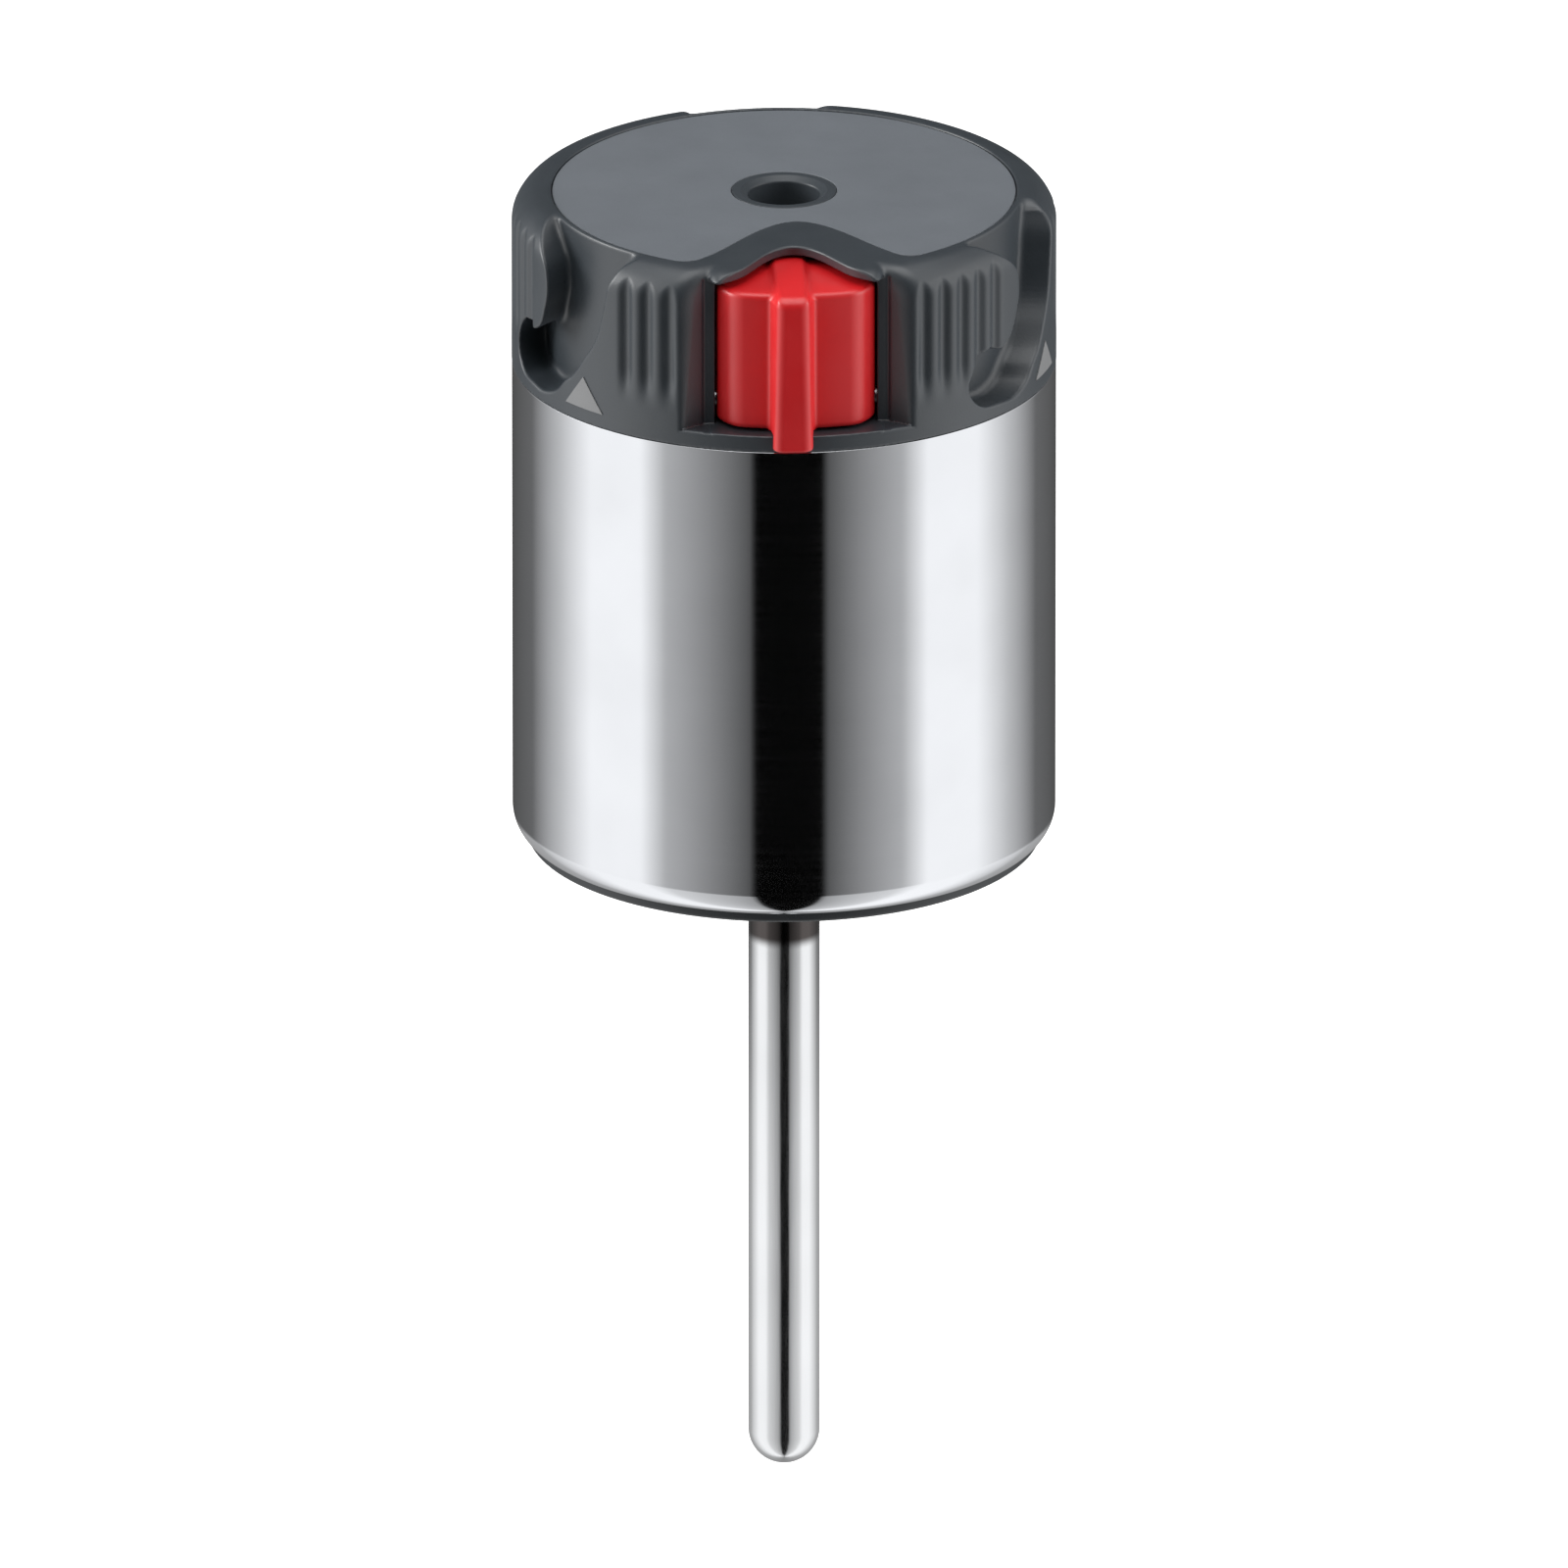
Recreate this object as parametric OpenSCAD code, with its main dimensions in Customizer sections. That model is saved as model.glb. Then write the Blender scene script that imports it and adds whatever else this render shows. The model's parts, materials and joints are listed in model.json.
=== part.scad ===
// Immersion head of a sous vide heater: a steel can with a moulded bayonet cap,
// a sprung red latch, a central plug socket and an 8 mm immersion stem.
// Origin: where the stem's axis meets the underside of the base. +Z is up, -Y is the latch side.

/* [Can] */
// Outer radius of the steel can
can_r = 30.4; // [30.3:0.05:30.5]
// Sheet thickness of the can
can_wall = 0.8; // [0.6:0.1:0.8]
// Height of the can's top edge
can_top = 56.6; // [56.5:0.05:56.7]
// Height of the can's flat bottom flange
can_bottom = 1.3; // [1.2:0.05:1.3]

/* [Stem] */
// Radius of the immersion stem
stem_r = 4; // [3.9:0.05:4]
// Length of the stem below the base, round tip included
stem_len = 75.6; // [60:0.1:90]
// Wall thickness of the stem's sheath
stem_wall = 0.6; // [0.5:0.05:0.6]

/* [Base] */
// Radius of the plastic base plate
base_r = 28.8; // [28:0.1:29]
// Height of the base plate's hub inside the can
hub_top = 5; // [4.9:0.05:5]

/* [Cap] */
// Outer radius of the cap
cap_r = 30.5; // [30.5:0.1:30.8]
// Height of the cap's rim
cap_top = 76.8; // [76.8:0.1:77]
// Height at which the shoulder starts
shoulder_z = 72.8; // [72.6:0.1:73]
// Outer radius of the rim's flat land
land_r = 27.2; // [27:0.1:27.4]
// Radius of the top plate
plate_r = 25.9; // [25.6:0.1:25.9]
// Height of the top plate's face
plate_top = 76.6; // [76.5:0.05:76.6]
// Thickness of the top plate
plate_t = 1.5; // [1.5:0.1:1.6]

/* [Bayonet] */
// Azimuths of the three bayonet grooves, from the latch towards +X
groove_az = [-60, 60, 180];
// Radius of the grooves' floor
groove_floor = 26.6; // [26.5:0.1:27]
// Angle between the groove's walls and the radius
groove_pull = 20; // [15:1:20]
// Depth of the grip flutes
flute_depth = 0.4; // [0.3:0.05:0.5]

/* [Latch] */
// Half the width of the latch
latch_w = 8.9; // [8.6:0.1:8.9]
// Radius of the latch's front face about the head's axis
latch_front = 29; // [28.8:0.1:29]
// Height of the latch's roof
latch_roof = 74.8; // [74.6:0.1:74.8]
// Radius reached by the latch's rib
rib_front = 32; // [31.6:0.1:32]
// Distance of the rib from the latch's middle
rib_x = -0.6; // [-0.6:0.1:0]
// Radius of the latch's hinge pin
hinge_r = 1; // [0.9:0.05:1]

/* [Socket] */
// Radius of the central plug socket
socket_r = 4.05; // [4:0.05:4.1]
// Outer radius of the socket's bezel
bezel_r = 5.85; // [5.8:0.05:5.9]
// Height of the socket's bottom
socket_floor = 62; // [61.9:0.05:62]

/* [Hidden] */
$fn = 96;
fit = 0.05;
can_in = can_r - can_wall;
roll_drop = 2.5;
roll_in = 1.1;
roll_sweep = 2 * atan(roll_in / roll_drop);
roll_r = roll_drop / sin(roll_sweep);
flange_r = 26;
shoulder_dx = cap_r - land_r;
shoulder_dz = cap_top - shoulder_z;
shoulder_sweep = 2 * atan(shoulder_dx / shoulder_dz);
shoulder_arc = shoulder_dz / sin(shoulder_sweep);
cavity_r = 25;
deck_top = plate_top - plate_t;
deck_z = 73.4;
spigot_z = 53.6;
recess_z = 58.5;
cheek_in = 9.05;
notch_half = 14.2;
notch_x = 0.8;
recess_half = 10.4;
recess_mouth = 13;
brow_under = 75.6;
flute_z = 63.5;
hinge_y = -24;
hinge_z = 61;
latch_bottom = 58.75;
post_ring = 22;
post_az = [-60, 60, 180];
post_top = 68;
screw_r = 1.5;
head_r = 2.8;
board_y = 6;
board_t = 1.6;
tip_z = stem_r - stem_len;

// Points of a circular arc from angle a0 to a1
function arc(cx, cy, r, a0, a1, n = 12) =
    [for (i = [0:n]) [cx + r * cos(a0 + (a1 - a0) * i / n), cy + r * sin(a0 + (a1 - a0) * i / n)]];

// Depth of the top plate's front notch at x from its middle: a bell curve
function notch_y(x) =
    -10.4 - 12.7 * (1 - cos(180 * min(abs(x), notch_half) / notch_half)) / 2;

// Turns a child that faces -Y to an azimuth
module at_az(a) {
    rotate([0, 0, a]) children();
}

// Ring or tube between two heights
module tube(r_out, r_in, z0, z1) {
    difference() {
        translate([0, 0, z0]) cylinder(r = r_out, h = z1 - z0);
        translate([0, 0, z0 - 1]) cylinder(r = r_in, h = z1 - z0 + 2);
    }
}

// Box from one corner to the other
module block(lo, hi) {
    translate(lo) cube(hi - lo);
}

// Unit vector along v
function unit(v) = v / norm(v);

// Point of a smooth curve through the path's points, at parameter t
function curve(path, t) =
    let (
        n = len(path) - 1,
        i = min(floor(t), n - 1),
        f = t - i,
        a = path[max(i - 1, 0)],
        b = path[i],
        c = path[i + 1],
        d = path[min(i + 2, n)]
    )
    0.5 * (2 * b + (c - a) * f + (2 * a - 5 * b + 4 * c - d) * f * f
        + (3 * b - 3 * c + d - a) * f * f * f);

// Skin of a tube whose rings each have the same number of sides
function ring_faces(n, sides) = concat(
    [for (i = [0:n - 1]) for (k = [0:sides - 1]) let (m = (k + 1) % sides)
        each [[i * sides + k, i * sides + m, (i + 1) * sides + m],
            [i * sides + k, (i + 1) * sides + m, (i + 1) * sides + k]]],
    [[for (k = [sides - 1:-1:0]) k]],
    [[for (k = [0:sides - 1]) n * sides + k]]
);

// Wire on a smooth curve through a list of points
module wire(path, r) {
    sides = 8;
    n = (len(path) - 1) * 5;
    step = (len(path) - 1) / n;
    rings = [for (i = [0:n])
        let (
            t = i * step,
            p = curve(path, t),
            dir = unit(curve(path, min(t + 0.05, n * step)) - curve(path, max(t - 0.05, 0))),
            u = unit(cross([0, 1, 0.02], dir)),
            v = cross(dir, u)
        )
        [for (k = [0:sides - 1]) p + r * (u * cos(360 * k / sides) + v * sin(360 * k / sides))]];
    polyhedron(points = [for (ring = rings) each ring], faces = ring_faces(n, sides));
}

// Helical spring standing on z = 0
module coil(r, wire_r, h, turns) {
    steps = 18;
    sides = 6;
    n = turns * steps;
    rings = [for (i = [0:n]) let (a = 360 * i / steps, z = wire_r + (h - 2 * wire_r) * i / n)
        [for (k = [0:sides - 1]) let (b = 360 * k / sides, q = r + wire_r * cos(b))
            [q * cos(a), q * sin(a), z + wire_r * sin(b)]]];
    polyhedron(points = [for (ring = rings) each ring], faces = ring_faces(n, sides));
}

// ---- Cap ----

// Outline of one bayonet groove as [angle, height] on the cap's outer surface
groove_outline = [
    [20, 78], [18.4, 75.7], [16.5, 73.5], [15.4, 70.8], [13.3, 67], [9.5, 64], [6.3, 61.8],
    [3.2, 60.5], [0, 58.9], [-5, 58], [-10, 58.1], [-15.2, 58.4], [-18.6, 59.7], [-19.6, 61.6],
    [-17.1, 63.9], [-14.5, 64.9], [-12, 64.9], [-9.5, 64.5], [-6, 65.7], [-4, 68], [-3, 70],
    [-3.5, 72.5], [-6, 74.4], [-9.7, 76.4], [-10.5, 78]
];

// Bayonet groove, open at the rim, with its narrow end under a lobe of the cap
module groove_cut() {
    difference() {
        at_az(groove_pull)
            rotate([90, 0, 0])
                linear_extrude(height = 40)
                    polygon([for (p = groove_outline) [cap_r * sin(p[0] - groove_pull), p[1]]]);
        translate([0, 0, 50]) cylinder(r = groove_floor, h = 30, $fn = 180);
    }
}

// One grip flute, open at the shoulder
module flute_cut() {
    flute_r = 1.7;
    translate([0, -cap_r - flute_r + flute_depth, flute_z])
        cylinder(r = flute_r, h = 20, $fn = 48);
}

// Plan of the latch pocket below the brow, with cheeks beside the latch
module pocket_plan() {
    polygon([
        [-recess_half, -34], [recess_half, -34], [recess_half, -25.8], [cheek_in, -25.8],
        [cheek_in, -18.6], [5.2, -14.6], [-5.2, -14.6], [-cheek_in, -18.6],
        [-cheek_in, -25.8], [-recess_half, -25.8]
    ]);
}

// Plan of the opening in the brow, over the latch's roof
module brow_plan() {
    polygon(concat(
        [[-recess_half, -34], [recess_half, -34], [recess_half, -28.6], [9.3, -27.7],
            [6.6, -26.7]],
        arc(0, -21.9, 3.25, 30.5, 149.5, 8),
        [[-6.6, -26.7], [-9.3, -27.7], [-recess_half, -28.6]]
    ));
}

// Flared sides of the recess at the cap's outer surface
module flare_plan() {
    for (s = [-1, 1])
        polygon([
            [s * (recess_half - 0.4), -34], [s * (recess_mouth + 3.5), -34],
            [s * recess_mouth, -27.6], [s * recess_half, -26], [s * (recess_half - 0.4), -26]
        ]);
}

// Area of the top plate, grown by a margin
module plate_plan(margin) {
    difference() {
        circle(r = plate_r + margin, $fn = 180);
        polygon(concat(
            [for (x = [-16:1:16]) [notch_x + x * (1 - margin / 16), notch_y(x) - margin]],
            [[notch_x + 16, -30], [notch_x - 16, -30]]
        ));
    }
}

module index_mark(r_in, r_out, grow) {
    half = 3 + grow;
    low = 58.3 - grow;
    high = 62 + grow;
    intersection() {
        tube(r_out, r_in, 55, 65);
        rotate([90, 0, 0])
            linear_extrude(height = 40)
                polygon([[-half, low], [half, low], [0, high]]);
    }
}

// Azimuths of the printed triangles
mark_az = [for (a = groove_az) a + 9.8];

module cap_profile() {
    polygon(concat(
        [[cavity_r, spigot_z], [can_in - fit, spigot_z], [can_in - fit, can_top], [cap_r, can_top]],
        arc(cap_r - shoulder_arc, shoulder_z, shoulder_arc, 0, shoulder_sweep),
        [[0, cap_top], [0, deck_z], [cavity_r, deck_z]]
    ));
}

module cap_shell() {
    color([0.29, 0.3, 0.32])
    difference() {
        union() {
            rotate_extrude($fn = 180) cap_profile();
            // screw bosses under the deck
            for (a = post_az)
                at_az(a)
                    translate([0, -post_ring, post_top + fit]) cylinder(r = 3.4, h = 6);
            // wall that the latch's spring pushes against
            block([-5, -13.8, 64], [5, -12.3, deck_z + 1]);
        }
        // seat of the top plate
        translate([0, 0, deck_top]) linear_extrude(height = 5) plate_plan(0.1);
        // hole for the socket
        translate([0, 0, 70]) cylinder(r = 5.3, h = 10);
        // latch recess
        translate([0, 0, recess_z]) linear_extrude(height = brow_under - recess_z) pocket_plan();
        translate([0, 0, brow_under - 1]) linear_extrude(height = 5) brow_plan();
        translate([0, 0, recess_z]) linear_extrude(height = 20) flare_plan();
        // holes for the latch's hinge pin
        translate([-12.5, hinge_y, hinge_z])
            rotate([0, 90, 0]) cylinder(r = hinge_r + 0.02, h = 25, $fn = 48);
        // bayonet grooves, with grip flutes between them
        for (a = groove_az) {
            at_az(a) groove_cut();
            for (u = [21.5, 26.7, 31.9, -12, -17, -22, -27, -32]) at_az(a + u) flute_cut();
        }
        for (a = mark_az) at_az(a) index_mark(cap_r - 0.25, cap_r + 1, 0.02);
        // screw holes and their counterbores
        for (a = post_az)
            at_az(a) translate([0, -post_ring, 60]) {
                cylinder(r = screw_r + 0.1, h = 20, $fn = 48);
                translate([0, 0, 13.1]) cylinder(r = 3, h = 5, $fn = 48);
            }
        // groove of the gasket
        tube(can_r, 28.2, 54.2, 55.6);
    }
}

module top_plate() {
    color([0.45, 0.46, 0.49])
    difference() {
        translate([0, 0, deck_top]) linear_extrude(height = plate_t) plate_plan(0);
        translate([0, 0, 70]) cylinder(r = bezel_r + fit, h = 10);
    }
}

module index_marks() {
    color([0.62, 0.63, 0.64])
    for (a = mark_az) at_az(a) index_mark(cap_r - 0.2, cap_r + 0.03, 0);
}

// ---- Latch ----

// Plan of the latch, drawn inwards by a wall thickness
module latch_plan(wall) {
    half = latch_w - wall;
    intersection() {
        circle(r = latch_front - wall, $fn = 180);
        polygon([
            [-half, -25.5 + wall * 0.4], [-7 + wall * 0.6, -28.2], [-7 + wall * 0.6, -31],
            [7 - wall * 0.6, -31], [7 - wall * 0.6, -28.2], [half, -25.5 + wall * 0.4],
            [half, -21.5], [4.5, -17], [-4.5, -17], [-half, -21.5]
        ]);
    }
}

module latch_body() {
    roof_t = 1.8;
    intersection() {
        difference() {
            translate([0, 0, latch_bottom])
                linear_extrude(height = latch_roof - latch_bottom) latch_plan(0);
            translate([0, 0, latch_bottom - 1])
                linear_extrude(height = latch_roof - roof_t - latch_bottom + 1) latch_plan(1.8);
            // open back
            block([-latch_w + 1.8, -24, latch_bottom - 1],
                [latch_w - 1.8, -10, latch_roof - roof_t]);
        }
        // side view: the flanks lean forward below the roof
        translate([-20, 0, 0])
            rotate([90, 0, 90])
                linear_extrude(height = 40)
                    polygon([
                        [-31, latch_bottom], [-31, latch_roof], [-16, latch_roof], [-16, 72.8],
                        [-21.4, 62.5], [-22.6, latch_bottom]
                    ]);
    }
}

// Raised rib over the roof and down the front, wider at both ends
module latch_rib() {
    rib_top = 75.3;
    rib_low = 57.1;
    lip_gap = 30.8;
    intersection() {
        translate([-5, 0, 0])
            rotate([90, 0, 90])
                linear_extrude(height = 10)
                    polygon([
                        [-rib_front, rib_low], [-rib_front, rib_top - 0.7],
                        [-rib_front + 0.6, rib_top], [-17, rib_top], [-17, 73.5], [-27.6, 73.5],
                        [-27.6, latch_bottom], [-lip_gap, latch_bottom], [-lip_gap, rib_low]
                    ]);
        translate([rib_x, 0, 0]) union() {
            // its sides lean in towards the front and the top
            polyhedron(
                points = [
                    [-1.7, -34, 57], [1.7, -34, 57], [1.3, -34, 76], [-1.3, -34, 76],
                    [-2.7, -28.7, 57], [2.7, -28.7, 57], [2.3, -28.7, 76], [-2.3, -28.7, 76]
                ],
                faces = [
                    [3, 2, 1, 0], [4, 5, 6, 7], [0, 1, 5, 4], [2, 3, 7, 6], [1, 2, 6, 5],
                    [3, 0, 4, 7]
                ]
            );
            translate([0, 0, latch_roof - 1])
                linear_extrude(height = 3)
                    polygon([[-1.7, -30], [1.7, -30], [1.95, -17], [-1.95, -17]]);
            translate([-1.7, -29, rib_low]) cube([3.4, 2, 18]);
        }
    }
}

module latch_button() {
    color([0.76, 0.1, 0.13])
    difference() {
        union() {
            latch_body();
            latch_rib();
        }
        translate([-20, hinge_y, hinge_z])
            rotate([0, 90, 0]) cylinder(r = hinge_r + fit, h = 40, $fn = 48);
    }
}

module latch_pin() {
    color([0.7, 0.7, 0.72])
    translate([-12.4, hinge_y, hinge_z])
        rotate([0, 90, 0]) cylinder(r = hinge_r, h = 24.8, $fn = 48);
}

// Compression spring between the latch's front wall and the cap
module latch_spring() {
    color([0.6, 0.6, 0.62])
    translate([0, -13.85, 68.5])
        rotate([90, 0, 0]) coil(2.4, 0.3, 13.1, 7);
}

// ---- Socket ----

module socket_bezel() {
    color([0.22, 0.23, 0.25])
    rotate_extrude($fn = 120)
        polygon([
            [socket_r, socket_floor], [socket_r, plate_top - 0.5], [4.85, plate_top],
            [bezel_r, plate_top], [bezel_r, deck_top], [5.2, deck_top], [5.2, 60], [4.3, 60],
            [4.3, socket_floor]
        ]);
}

module contact_carrier() {
    color([0.9, 0.88, 0.82])
    rotate_extrude($fn = 96)
        polygon([
            [2.3, 51], [2.3, 58.5], [1.26, 58.5], [1.26, 60], [5.25, 60], [5.25, 64],
            [7.5, 64], [7.5, 57], [3.3, 57], [3.3, 50], [0, 50], [0, 51]
        ]);
}

// Ring that touches the plug's sleeve
module sleeve_contact() {
    color([0.85, 0.68, 0.35])
    tube(3.9, 3, 60 + fit, 61.6);
}

// Sprung pin that touches the plug's tip
module centre_contact() {
    color([0.85, 0.68, 0.35])
    rotate_extrude($fn = 64)
        polygon(concat(
            [[0, 57.4], [2.1, 57.4], [2.1, 58.3], [1.2, 58.3]],
            arc(0, 60.4, 1.2, 0, 90, 8)
        ));
}

module contact_spring() {
    color([0.6, 0.6, 0.62])
    translate([0, 0, 51 + fit]) coil(1.7, 0.25, 6.25, 6);
}

module socket_leads() {
    color([0.75, 0.2, 0.15])
    for (s = [-1, 1])
        wire([[s * 2.2, 0, 49.4], [s * 3.4, 2, 48.6], [s * 4, 4.8, 44.5]], 0.5);
}

// ---- Can, base and stem ----

module body_can() {
    color([0.78, 0.79, 0.8])
    rotate_extrude($fn = 180)
        polygon(concat(
            [[flange_r, can_bottom]],
            arc(can_r - roll_r, can_bottom + roll_drop, roll_r, -roll_sweep, 0),
            [[can_r, can_top], [can_in, can_top]],
            arc(can_r - roll_r, can_bottom + roll_drop, roll_r - can_wall, 0,
                -asin((roll_drop - can_wall) / (roll_r - can_wall))),
            [[flange_r, can_bottom + can_wall]]
        ));
}

module torus(ring_r, section_r, z) {
    rotate_extrude($fn = 96) translate([ring_r, z]) circle(r = section_r, $fn = 32);
}

module cap_gasket() {
    color([0.12, 0.12, 0.12])
    torus(28.88, 0.65, 54.9);
}

module base_gasket() {
    color([0.12, 0.12, 0.12])
    tube(27.7, 26.7, 0.72, can_bottom - 0.01);
}

module base_plate() {
    color([0.25, 0.26, 0.28])
    difference() {
        rotate_extrude($fn = 180)
            polygon([
                [5 + fit, 0], [base_r - 0.3, 0], [base_r, 0.3], [base_r, can_bottom],
                [flange_r - 0.1, can_bottom], [flange_r - 0.1, hub_top], [11, hub_top],
                [11, 8.2], [7.7, 8.2], [7.7, 3], [5 + fit, 3]
            ]);
        tube(27.8, 26.6, 0.7, 2);
        // seat of the stem's O-ring
        tube(7, 5.6, 2, 3.5);
        for (a = post_az)
            at_az(a) translate([0, -post_ring, 0]) {
                translate([0, 0, -1]) cylinder(r = 3, h = 3.3, $fn = 48);
                cylinder(r = screw_r + 0.1, h = 20, $fn = 48);
            }
    }
}

module probe_sheath() {
    bore_r = stem_r - stem_wall;
    color([0.72, 0.73, 0.74])
    rotate_extrude($fn = 96)
        polygon(concat(
            arc(0, tip_z, stem_r, -90, 0, 16),
            [[stem_r, 0], [5, 0], [5, 3], [7.5, 3], [7.5, 4.2], [stem_r, 4.2], [stem_r, 12],
                [bore_r, 12]],
            arc(0, tip_z, bore_r, 0, -90, 16)
        ));
}

// Threaded plug that clamps the stem's flange, with a hexagon head
module gland_nut() {
    color([0.8, 0.66, 0.38])
    difference() {
        union() {
            translate([0, 0, 4.25]) cylinder(r = 7.62, h = 4);
            translate([0, 0, 8.25]) cylinder(r = 8.5, h = 3, $fn = 6);
        }
        cylinder(r = stem_r + 0.1, h = 20);
    }
}

module probe_oring() {
    color([0.12, 0.12, 0.12])
    torus(6.3, 0.48, 2.5);
}

module heater_cartridge() {
    color([0.5, 0.48, 0.45])
    tube(3.1, 1.1, tip_z + 4, tip_z + 56);
}

module temp_sensor() {
    color([0.8, 0.75, 0.6])
    rotate_extrude($fn = 48)
        polygon(concat(
            arc(0, tip_z - 1.4, 1.2, -90, 0, 8),
            [[1.2, tip_z + 3.9], [0, tip_z + 3.9]]
        ));
}

module ceramic_bush() {
    color([0.93, 0.92, 0.88])
    tube(4.5, 3, 12 + fit, 18);
}

module thermal_fuse() {
    color([0.82, 0.8, 0.75])
    translate([6.2, 0, 11.3]) cylinder(r = 1.55, h = 9, $fn = 48);
}

module heater_leads() {
    color([0.8, 0.8, 0.78])
    for (s = [-1, 1])
        wire([[s * 2.2, 0, tip_z + 56.2], [s * 2.2, 0, 19], [s * 3, 1, 23.4]], 0.45);
}

module sensor_leads() {
    color([0.85, 0.82, 0.3])
    for (s = [-1, 1])
        wire([
            [s * 0.5, 0, tip_z + 4.3], [s * 0.5, 0, 10], [s * 0.5, 0, 17.8],
            [2.5 + s * 0.45, -2.6 + s * 0.35, 20.5], [8.5 + s * 0.3, -2 + s * 0.45, 23],
            [10.2 + s * 0.9, 2, 26], [10.2 + s * 0.9, 5.6, 28]
        ], 0.3);
}

// ---- Electronics ----

module board_frame() {
    rail_back = board_y + board_t + fit;
    color([0.85, 0.85, 0.82])
    difference() {
        union() {
            tube(28.4, 25.2, hub_top + fit, 7.5);
            for (s = [-1, 1]) {
                block([s * 17.5 - 2.5, rail_back, hub_top + fit], [s * 17.5 + 2.5, 10.6, 47]);
                block([s * 22.5 - 5, rail_back, hub_top + fit], [s * 22.5 + 3.5, 10.6, 7.5]);
            }
        }
        board_holes(0.95);
    }
}

// Places of the board's four screws
module board_holes(r) {
    for (x = [-16, 16])
        for (z = [16, 43])
            translate([x, 20, z]) rotate([90, 0, 0]) cylinder(r = r, h = 20, $fn = 32);
}

module control_board() {
    color([0.1, 0.36, 0.2])
    difference() {
        block([-18, board_y, 13], [18, board_y + board_t, 46]);
        board_holes(1);
    }
}

module board_screws() {
    color([0.7, 0.7, 0.72])
    for (x = [-16, 16])
        for (z = [16, 43]) {
            translate([x, board_y - fit, z])
                rotate([90, 0, 0]) cylinder(r = 1.8, h = 1.3, $fn = 32);
            translate([x, 10.4, z])
                rotate([90, 0, 0]) cylinder(r = 0.9, h = 10.4 - board_y + 0.1, $fn = 32);
        }
}

module microcontroller() {
    color([0.12, 0.12, 0.13])
    block([7.5, board_y - 1.05, 36], [14.5, board_y - fit, 41.6]);
}

module power_transistor() {
    back = board_y + board_t;
    color([0.15, 0.15, 0.16])
    block([-5, back + fit, 29], [5, back + 4.5, 44]);
}

// Finned sink behind the transistor
module heat_sink() {
    front = board_y + board_t + 4.55;
    color([0.7, 0.72, 0.74])
    union() {
        block([-9, front, 27], [9, front + 1.6, 46]);
        for (x = [-9:3.4:8]) block([x, front + 1, 27], [x + 1, 18, 46]);
    }
}

module capacitors() {
    color([0.2, 0.24, 0.4])
    for (p = [[-12, 37], [-4.4, 39]])
        translate([p[0], board_y - fit, p[1]])
            rotate([90, 0, 0]) cylinder(r = 3.4, h = 12, $fn = 64);
}

module terminal_block() {
    color([0.15, 0.4, 0.25])
    block([-7, -2, 24], [7, board_y - fit, 33]);
}

// ---- Tie posts and screws ----

module tie_posts() {
    color([0.8, 0.66, 0.38])
    for (a = post_az)
        at_az(a) translate([0, -post_ring, 0])
            difference() {
                translate([0, 0, hub_top + fit])
                    cylinder(r = 2.8, h = post_top - hub_top - 2 * fit, $fn = 6);
                cylinder(r = screw_r + 0.06, h = 16, $fn = 48);
                translate([0, 0, 57]) cylinder(r = screw_r + 0.06, h = 20, $fn = 48);
            }
}

// Screw with a round head that has a cross slot
module cross_screw(shank) {
    difference() {
        cylinder(r = head_r, h = 1.9, $fn = 48);
        for (a = [0, 90])
            rotate([0, 0, a]) block([-1.5, -0.35, -1], [1.5, 0.35, 1]);
    }
    translate([0, 0, 1.8]) cylinder(r = screw_r, h = shank, $fn = 48);
}

module tie_screws() {
    color([0.7, 0.7, 0.72])
    for (a = post_az) at_az(a) translate([0, -post_ring, 0.35]) cross_screw(12);
}

module deck_screws() {
    color([0.7, 0.7, 0.72])
    for (a = post_az)
        at_az(a) translate([0, -post_ring, deck_top - 0.05]) mirror([0, 0, 1]) cross_screw(14);
}

cap_shell();
top_plate();
socket_bezel();
index_marks();
latch_button();
latch_pin();
latch_spring();
contact_carrier();
sleeve_contact();
centre_contact();
contact_spring();
socket_leads();
body_can();
cap_gasket();
base_plate();
base_gasket();
probe_sheath();
gland_nut();
probe_oring();
heater_cartridge();
temp_sensor();
ceramic_bush();
thermal_fuse();
heater_leads();
sensor_leads();
board_frame();
control_board();
board_screws();
microcontroller();
power_transistor();
heat_sink();
capacitors();
terminal_block();
tie_posts();
tie_screws();
deck_screws();
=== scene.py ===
import json
import math

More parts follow.
